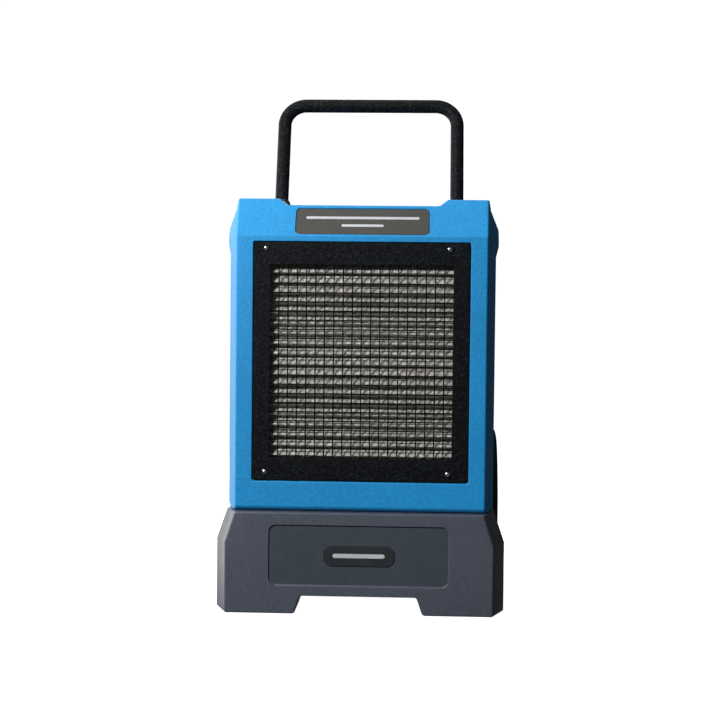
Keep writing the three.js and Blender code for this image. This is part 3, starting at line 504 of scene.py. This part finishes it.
def fold(along):
    """How far back the media lies, 0 to 1, at a place along one pleat from ridge to ridge."""
    upper = PLEAT["upper"]
    saw = along / upper if along < upper else (1 - along) / (1 - upper)
    return 0.55 * saw + 0.45 * (0.5 - 0.5 * math.cos(math.pi * saw))


def pleated_filter():
    """Folded media with slightly uneven ridges, rounded folds and faintly crinkled faces."""
    low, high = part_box("air_filter")
    pitch, steps, columns = PLEAT["pitch"], 16, 150
    rows = round(PLEAT["height"] / pitch * steps)
    bottom = (low.z + high.z) / 2 - PLEAT["height"] / 2
    bm = bmesh.new()
    grid = {}
    for side in (0, 1):
        for j in range(rows + 1):
            whole, along = divmod(j / steps + PLEAT["phase"], 1)
            back = low.y + PLEAT["front"] + fold(along) * PLEAT["depth"]
            z = bottom + j / steps * pitch
            for i in range(columns + 1):
                x = low.x + (high.x - low.x) * i / columns
                sway = noise.noise(Vector((x * 14, 0.3, whole * 1.7))) * PLEAT["sway"]
                crinkle = noise.noise(Vector((x * 150, z * 90, 4.0))) * PLEAT["crinkle"]
                y = back + crinkle + side * PLEAT["sheet"]
                grid[side, j, i] = bm.verts.new((x, y, z + (sway if 0 < j < rows else 0)))
    for j in range(rows):
        for i in range(columns):
            bm.faces.new((grid[0, j, i], grid[0, j, i + 1], grid[0, j + 1, i + 1], grid[0, j + 1, i]))
            bm.faces.new((grid[1, j, i], grid[1, j + 1, i], grid[1, j + 1, i + 1], grid[1, j, i + 1]))
    for j in range(rows):
        for i in (0, columns):
            bm.faces.new((grid[0, j, i], grid[0, j + 1, i], grid[1, j + 1, i], grid[1, j, i]))
    for i in range(columns):
        for j in (0, rows):
            bm.faces.new((grid[0, j, i], grid[0, j, i + 1], grid[1, j, i + 1], grid[1, j, i]))
    bmesh.ops.recalc_face_normals(bm, faces=bm.faces)
    replace_with(new_object("pleated_filter", bm, sharp_angle=50), "air_filter")


# ------------------------------------------------------------------ handle
def handle():
    """One bent tube that leans back, with its tails in the two sockets."""
    lean, x = HANDLE["lean"], HANDLE["x"]
    up = Vector((0, math.sin(lean), math.cos(lean)))
    foot = Vector((0, *HANDLE["foot"]))
    top, tail = up * HANDLE["reach"], up * -HANDLE["tail"]
    stops = ((-x, tail), (-x, top), (x, top), (x, tail))
    corners = [foot + along + Vector((side, 0, 0)) for side, along in stops]
    bm = bmesh.new()
    add_tube(bm, rounded_route(corners, HANDLE["bend"], 16), HANDLE["radius"], 32)
    obj = new_object("push_handle", bm)
    finish_piece(obj, MAT["handle_coat"], "chassis", SLOT_OF["handle_tube"], "handle_tube")


# ------------------------------------------------------------------ the CAD's own solids, rounded
ROUNDED = {  # width of the rounding in mm, and its segments
    "housing_shell": (2.6, 3), "base_tub": (3.0, 3), "front_bezel": (0.9, 2), "label_plate": (0.4, 2),
    "base_badge": (0.5, 2), "filter_frame": (0.8, 2), "control_fascia": (0.8, 2), "display_lens": (0.4, 2),
    "outlet_collar": (0.8, 2), "power_inlet": (0.7, 2), "rocker_switch": (0.8, 2), "foot_pad_left": (1.2, 2),
    "foot_pad_right": (1.2, 2), "cord_hook_left": (1.2, 3), "cord_hook_right": (1.2, 3),
    "handle_socket_left": (0.8, 2), "handle_socket_right": (0.8, 2),
}


def rounded_nodes():
    """Replaces the moulded and cast solids by copies with rounded corners."""
    for node, (width, segments) in ROUNDED.items():
        obj = replace_with(softened(node, width * MM, segments), node)
        if node == "base_tub":
            fine_grain_shaded_recess(obj)


def fine_grain_shaded_recess(obj):
    """The floor of the sunk field in the base gets a finer grain than its surround, and a darker colour that
    is painted shade for the recess.
    """
    obj.data.materials.append(MAT["recess_grain_and_shade"])
    for face in obj.data.polygons:
        x, y, z = face.center
        inside = abs(x) < RECESS["half_x"] and abs(z - RECESS["z"]) < RECESS["half_z"]
        if inside and face.normal.y < -0.98 and abs(y - RECESS["y"]) < RECESS["near"]:
            # the recess floor takes the darker material, painted shade
            face.material_index = 1


# ------------------------------------------------------------------ wheels
def wheel_matrix(side):
    """Local Z runs along the axle, away from the machine."""
    place = Matrix.Translation((side * WHEEL["x"], WHEEL["y"], WHEEL["radius"]))
    return place @ Matrix.Rotation(side * math.pi / 2, 4, "Y")


def tyre_profile():
    """The closed section as (radius, height, row). Row is -1 or 1 on the lugs and 0 elsewhere."""
    full, half, inner = WHEEL["radius"], WHEEL["half"], WHEEL["inner"]
    section = [(inner, half - 3 * MM, 0), (inner + 14 * MM, half - 0.6 * MM, 0), (full - 14 * MM, half, 0),
               (full - 8 * MM, half - 1.5 * MM, 0), (full - 3.2 * MM, half - 5 * MM, 0),
               (full - 0.6 * MM, 14 * MM, 1), (full, 12 * MM, 1), (full, 2.6 * MM, 1),
               (full - TREAD["groove"], 1.8 * MM, 0)]
    return [(r, -h, -row) for r, h, row in section] + section[::-1]


def tread_cuts():
    """The places round the tyre, as parts of a turn, that get a ring of points."""
    lugs, gap, edge = TREAD["lugs"], TREAD["gap"], TREAD["edge"]
    cuts = {(n + 0.25) / (lugs * 2) for n in range(lugs * 2)}
    for lug in range(lugs):
        for offset in (0, 0.5):
            cuts.update((lug + offset + part) / lugs for part in (-gap - edge, -gap, gap, gap + edge))
    return sorted(cuts)


def tyre(name, side):
    """A rubber tyre with two rows of offset lugs."""
    profile = tyre_profile()
    groove = WHEEL["radius"] - TREAD["groove"]
    turn = wheel_matrix(side)
    bm = bmesh.new()
    rings = []
    for cut in tread_cuts():
        angle = 2 * math.pi * cut
        ring = []
        for r, h, row in profile:
            phase = (cut * TREAD["lugs"] - (0.5 if row > 0 else 0)) % 1
            if row and min(phase, 1 - phase) < TREAD["gap"] + TREAD["slack"]:
                r = min(r, groove)
            ring.append(bm.verts.new(turn @ Vector((r * math.cos(angle), r * math.sin(angle), h))))
        rings.append(ring)
    for a, b in zip(rings, rings[1:] + rings[:1]):
        for i in range(len(profile)):
            j = (i + 1) % len(profile)
            bm.faces.new((a[i], b[i], b[j], a[j]))
    bmesh.ops.recalc_face_normals(bm, faces=bm.faces)
    replace_with(new_object(name + "_treaded", bm, sharp_angle=38), name)


def rim(name, side):
    """A dished disc between hub and lip, with eight ribs."""
    half, edge = WHEEL["half"], WHEEL["rim"]
    bore, hub, lip = 8.4 * MM, 22 * MM, edge - 7 * MM
    profile = [(bore, -half), (hub, -half), (hub, 2 * MM), (hub + 1.5 * MM, 2.6 * MM),
               (lip - 2 * MM, 5.6 * MM), (lip, 4 * MM), (lip, 5 * MM - half),
               (lip + 1 * MM, 4 * MM - half), (edge, 4 * MM - half),
               (edge, half - 5 * MM), (edge - 1 * MM, half - 4 * MM), (lip + 1 * MM, half - 4 * MM),
               (lip, half - 5 * MM), (lip, 12.5 * MM), (lip - 2 * MM, 10.8 * MM), (hub + 2 * MM, 7.2 * MM),
               (hub, 9 * MM), (hub, half - 7 * MM), (hub - 1 * MM, half - 6 * MM), (bore, half - 6 * MM)]
    turn = wheel_matrix(side)
    bm = bmesh.new()
    lathe(bm, profile, 96, turn)
    ribs = 8
    for k in range(ribs):
        spin = turn @ Matrix.Rotation(2 * math.pi * k / ribs, 4, "Z")
        place = spin @ Matrix.Translation(((hub + lip) / 2, 0, 10 * MM))
        size = Matrix.Diagonal((lip - hub + 2 * MM, 6 * MM, 12 * MM, 1))
        made = bmesh.ops.create_cube(bm, size=1, matrix=place @ size)
        edges = list({e for v in made["verts"] for e in v.link_edges})
        bmesh.ops.bevel(bm, geom=edges, offset=1 * MM, segments=2, affect="EDGES")
    bmesh.ops.recalc_face_normals(bm, faces=bm.faces)
    replace_with(new_object(name + "_moulded", bm, sharp_angle=32), name)


def hub_cap(name, side):
    """A low domed cap on the end of the axle."""
    base = WHEEL["half"] - 5.6 * MM
    profile = [(0.01 * MM, 0), (13.4 * MM, 0), (14 * MM, 0.6 * MM), (14 * MM, 1.2 * MM),
               (12.6 * MM, 2.4 * MM), (9.6 * MM, 3.9 * MM), (5 * MM, 4.8 * MM), (0.01 * MM, 5 * MM)]
    bm = bmesh.new()
    lathe(bm, profile, 48, wheel_matrix(side) @ Matrix.Translation((0, 0, base)))
    bmesh.ops.recalc_face_normals(bm, faces=bm.faces)
    replace_with(new_object(name + "_domed", bm, sharp_angle=32), name)


# ------------------------------------------------------------------ turned and welded pieces
def along_y(x, y, z):
    """Local Z runs along +Y from a point."""
    return Matrix.Translation((x, y, z)) @ Matrix.Rotation(-math.pi / 2, 4, "X")


def bezel_screws():
    """Pan-head screws with a round drive recess."""
    profile = [(1.6 * MM, -3.1 * MM), (2.6 * MM, -2.95 * MM), (3.6 * MM, -2.4 * MM),
               (4.2 * MM, -1.3 * MM), (4.4 * MM, 0), (2 * MM, 0), (2 * MM, 7.8 * MM),
               (0.01 * MM, 7.8 * MM), (0.01 * MM, -1.4 * MM), (1.6 * MM, -1.4 * MM)]
    for k in range(1, 5):
        node = f"bezel_screw_{k}"
        low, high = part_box(node)
        bm = bmesh.new()
        lathe(bm, profile, 32, along_y((low.x + high.x) / 2, low.y + 3.2 * MM, (low.z + high.z) / 2))
        bmesh.ops.recalc_face_normals(bm, faces=bm.faces)
        replace_with(new_object(node + "_pan_head", bm), node)


def outlet_collar():
    """The flanged ring that a lay-flat duct is tied to."""
    low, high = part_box("outlet_collar")
    bore, outer, flange, length = 134 * MM, 137.6 * MM, 158 * MM, 34 * MM
    profile = [(bore, 0), (flange - 0.8 * MM, 0), (flange, 0.8 * MM), (flange, 2.2 * MM),
               (flange - 0.8 * MM, 3 * MM), (outer + 2 * MM, 3.2 * MM), (outer, 5 * MM),
               (outer, length - 6 * MM), (outer + 2.4 * MM, length - 3.6 * MM),
               (outer + 3 * MM, length - 1.6 * MM), (outer + 2 * MM, length - 0.4 * MM), (outer, length),
               (bore + 1 * MM, length), (bore, length - 1 * MM)]
    bm = bmesh.new()
    lathe(bm, profile, 128, along_y(0, low.y, (low.z + high.z) / 2))
    bmesh.ops.recalc_face_normals(bm, faces=bm.faces)
    replace_with(new_object("outlet_collar_moulded", bm), "outlet_collar")


def outlet_grille():
    """Six wire rings on six spokes, with a disc over the middle."""
    collar_low, collar_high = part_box("outlet_collar")
    low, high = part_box("outlet_grille")
    wire, sides, count = 1.6 * MM, 8, 6
    radius = (high.x - low.x) / 2
    frame_matrix = along_y(0, low.y + wire, (collar_low.z + collar_high.z) / 2)
    bm = bmesh.new()
    for k in range(1, count + 1):
        r = radius * k / count - wire
        turns = np.linspace(0, 2 * math.pi, 97)
        ring = [frame_matrix @ Vector((r * math.cos(a), r * math.sin(a), 0)) for a in turns]
        add_tube(bm, ring, wire * 0.8, sides)
    for k in range(count):
        a = 2 * math.pi * k / count
        reach = (8 * MM, radius - wire)
        spoke = [frame_matrix @ Vector((r * math.cos(a), r * math.sin(a), wire * 0.7)) for r in reach]
        add_tube(bm, spoke, wire * 0.8, sides)
    disc = [(0.01 * MM, -0.4 * MM), (13 * MM, -0.4 * MM), (14 * MM, 0.4 * MM), (14 * MM, 1.4 * MM),
            (0.01 * MM, 1.8 * MM)]
    lathe(bm, disc, 40, frame_matrix)
    bmesh.ops.recalc_face_normals(bm, faces=bm.faces)
    replace_with(new_object("outlet_grille_welded", bm), "outlet_grille")


def blade_point(outward, forward, side):
    """A point of one blade: outward 0 to 1 from root to tip, forward -1 to 1 across the chord."""
    r = FAN["root"] + (FAN["tip"] - FAN["root"]) * outward
    pitch = math.radians(36 - 14 * outward)
    chord = 23 * MM + 4 * MM * math.sin(math.pi * outward)
    camber = 2.5 * MM * (1 - forward * forward)
    thick = 1.3 * MM * math.sqrt(max(0.0, 1 - forward ** 4)) + 0.15 * MM
    height = -chord * forward * math.sin(pitch) + camber + side * thick
    swing = chord * forward * math.cos(pitch) / r
    return Vector((r * math.cos(swing), r * math.sin(swing), height))


def add_blade(bm, spin):
    """One closed blade, whose pitch eases from hub to tip."""
    across, along = 8, 10
    sheet = {}
    for side in (-1, 1):
        for i in range(along + 1):
            for j in range(across + 1):
                point = blade_point(i / along, (j / across - 0.5) * 2, side)
                sheet[side, i, j] = bm.verts.new(spin @ point)
    for i in range(along):
        for j in range(across):
            for side in (-1, 1):
                bm.faces.new((sheet[side, i, j], sheet[side, i + 1, j],
                              sheet[side, i + 1, j + 1], sheet[side, i, j + 1]))
        for j in (0, across):
            bm.faces.new((sheet[-1, i, j], sheet[-1, i + 1, j], sheet[1, i + 1, j], sheet[1, i, j]))
    for j in range(across):
        for i in (0, along):
            bm.faces.new((sheet[-1, i, j], sheet[-1, i, j + 1], sheet[1, i, j + 1], sheet[1, i, j]))


def impeller():
    """A hub with seven blades."""
    low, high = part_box("fan_impeller")
    frame_matrix = along_y(0, (low.y + high.y) / 2, INTAKE_Z)
    half, hub = (high.y - low.y) / 2 - 1 * MM, FAN["hub"]
    bm = bmesh.new()
    profile = [(0.01 * MM, -half), (hub - 4 * MM, -half), (hub, -half + 4 * MM), (hub, half),
               (0.01 * MM, half)]
    lathe(bm, profile, 64, frame_matrix)
    for k in range(FAN["blades"]):
        add_blade(bm, frame_matrix @ Matrix.Rotation(2 * math.pi * k / FAN["blades"], 4, "Z"))
    bmesh.ops.recalc_face_normals(bm, faces=bm.faces)
    replace_with(new_object("fan_impeller_moulded", bm, sharp_angle=45), "fan_impeller")


def buttons():
    """Four keys, each with a flange under the panel and a dished top."""
    profile = [(0.01 * MM, 0), (9.6 * MM, 0), (9.6 * MM, 3.6 * MM), (8 * MM, 3.6 * MM), (8 * MM, 8.8 * MM),
               (7.6 * MM, 9.6 * MM), (6.8 * MM, 10 * MM), (5 * MM, 9.7 * MM), (0.01 * MM, 9.2 * MM)]
    for k in range(1, 5):
        low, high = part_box(f"button_{k}")
        bm = bmesh.new()
        lathe(bm, profile, 40, Matrix.Translation(((low.x + high.x) / 2, (low.y + high.y) / 2, low.z)))
        bmesh.ops.recalc_face_normals(bm, faces=bm.faces)
        replace_with(new_object(f"button_{k}_dished", bm, sharp_angle=34), f"button_{k}")


# ------------------------------------------------------------------ label and badge
def flat_strip(name, width, height, turn):
    """A printed bar with rounded ends, as a thin solid lying in local XZ and facing -Y."""
    radius, steps = height / 2, 10
    outline = []
    for side, first in ((1, -math.pi / 2), (-1, math.pi / 2)):
        for k in range(steps + 1):
            angle = first + math.pi * k / steps
            x = side * (width / 2 - radius) + radius * math.cos(angle)
            outline.append((x, radius * math.sin(angle)))
    bm = bmesh.new()
    front = [bm.verts.new(turn @ Vector((x, -PRINT["thick"], z))) for x, z in outline]
    back = [bm.verts.new(turn @ Vector((x, 0, z))) for x, z in outline]
    bm.faces.new(front)
    bm.faces.new(back[::-1])
    for k in range(len(outline)):
        n = (k + 1) % len(outline)
        bm.faces.new((front[k], back[k], back[n], front[n]))
    bmesh.ops.recalc_face_normals(bm, faces=bm.faces)
    return new_object(name, bm)


def label_stripes():
    """Two plain bars printed across the woven film, in place of lettering."""
    low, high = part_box("label_plate")
    face = Vector((0, -math.cos(LABEL_LEAN), math.sin(LABEL_LEAN)))
    rise = Vector((0, math.sin(LABEL_LEAN), math.cos(LABEL_LEAN)))
    middle = (low + high) / 2 + face * PRINT["label_lift"]
    turn = Matrix((Vector((1, 0, 0)), -face, rise)).transposed().to_4x4()
    for name, width, up in (("label_bar_long", 188 * MM, 7.5 * MM), ("label_bar_short", 70 * MM, -8.5 * MM)):
        place = Matrix.Translation(middle + rise * up) @ turn
        bar = flat_strip(name, width, PRINT["label_height"], place)
        finish_piece(bar, MAT["print_white"], "chassis", "label_film")


def badge_print():
    """One plain bar on the blank badge."""
    low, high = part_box("base_badge")
    centre = Vector((0, low.y - PRINT["badge_lift"], (low.z + high.z) / 2))
    strip = flat_strip("badge_bar", 86 * MM, PRINT["badge_height"], Matrix.Translation(centre))
    finish_piece(strip, MAT["print_white"], "chassis", "badge_film")


# ------------------------------------------------------------------ stage
# angles in degrees, lens in millimetres of a 36 mm wide sensor
CAMERA = {"place": (0.10667, -2.740, 0.5156), "yaw": 2.501, "pitch": -2.087, "roll": 0.598, "lens": 76.5}
FILL, BACKDROP = 0.06, 1.05  # strength of the world as a source, and as the camera sees it


def camera():
    """Stands the camera in front of the machine, a little towards +X."""
    data = bpy.data.cameras.new("camera")
    data.sensor_width = 36
    data.lens = CAMERA["lens"]
    obj = bpy.data.objects.new("camera", data)
    turn = Matrix.Rotation(math.radians(CAMERA["yaw"]), 4, "Z")
    tilt = Matrix.Rotation(math.radians(90 + CAMERA["pitch"]), 4, "X")
    roll = Matrix.Rotation(math.radians(CAMERA["roll"]), 4, "Z")
    obj.matrix_world = Matrix.Translation(CAMERA["place"]) @ turn @ tilt @ roll
    bpy.context.scene.collection.objects.link(obj)
    bpy.context.scene.camera = obj


def area_light(name, place, target, size, power, colour=(1, 1, 1)):
    """A rectangular lamp of a size in metres and a power in watts, turned to its target."""
    data = bpy.data.lights.new(name, "AREA")
    data.shape = "RECTANGLE"
    data.size, data.size_y = size
    data.energy = power
    data.color = colour
    obj = bpy.data.objects.new(name, data)
    direction = Vector(target) - Vector(place)
    obj.rotation_euler = direction.to_track_quat("-Z", "Y").to_euler()
    obj.location = place
    bpy.context.scene.collection.objects.link(obj)


def floor():
    """A white studio floor that keeps a faint contact shadow and throws no light on the machine."""
    bm = bmesh.new()
    bmesh.ops.create_grid(bm, x_segments=1, y_segments=1, size=14)
    obj = new_object("studio_floor", bm, smooth=False)
    s = Shader("studio_floor")
    s.set(Specular_IOR_Level=0.0, Emission_Color=(1, 1, 1, 1), Emission_Strength=1.0)
    grain = s.noise(2.0)
    s.use(s.ramp(grain, (0.3, (0.80, 0.80, 0.80)), (0.7, (0.84, 0.84, 0.84))), s.map(grain, 0.9, 1.0))
    obj.data.materials.append(s.material)
    obj.visible_diffuse = False
    obj.visible_glossy = False


def world():
    """White to the camera, dim as a source, so that the lamps model the shape."""
    made = bpy.data.worlds.new("studio")
    made.use_nodes = True
    tree = made.node_tree
    dim = tree.nodes["Background"]
    dim.inputs["Color"].default_value = (0.92, 0.96, 1, 1)
    dim.inputs["Strength"].default_value = FILL
    bright = tree.nodes.new("ShaderNodeBackground")
    bright.inputs["Color"].default_value = (1, 1, 1, 1)
    bright.inputs["Strength"].default_value = BACKDROP
    path = tree.nodes.new("ShaderNodeLightPath")
    mix = tree.nodes.new("ShaderNodeMixShader")
    tree.links.new(path.outputs["Is Camera Ray"], mix.inputs["Fac"])
    tree.links.new(dim.outputs[0], mix.inputs[1])
    tree.links.new(bright.outputs[0], mix.inputs[2])
    tree.links.new(mix.outputs[0], tree.nodes["World Output"].inputs["Surface"])
    bpy.context.scene.world = made


def stage():
    """Camera, surroundings and four lamps: a small hard key in front and three soft fills."""
    camera()
    world()
    floor()
    middle = (0, -0.1, 0.45)
    area_light("key", (-1.20, -2.00, 1.60), (0, -0.2, 0.42), (0.16, 0.16), 60)
    area_light("left_panel", (-1.5, 0.5, 0.7), middle, (2.0, 2.0), 30, (1.0, 0.99, 0.95))
    area_light("overhead", (-0.2, 0.1, 2.0), middle, (0.9, 0.9), 8)
    area_light("back_fill", (-0.3, 2.1, 1.2), (0, 0.2, 0.45), (1.2, 1.2), 26)
    bpy.context.scene.view_settings.view_transform = "Standard"


stage()
for name, obj in NODES.items():
    obj.data.materials.clear()
    obj.data.materials.append(MAT[SLOT_OF[name]])
wire_guard()
pleated_filter()
handle()
rounded_nodes()
for side_name, side in (("left", -1), ("right", 1)):
    tyre("tyre_" + side_name, side)
    rim("rim_" + side_name, side)
    hub_cap("hub_cap_" + side_name, side)
bezel_screws()
outlet_collar()
outlet_grille()
impeller()
buttons()
label_stripes()
badge_print()
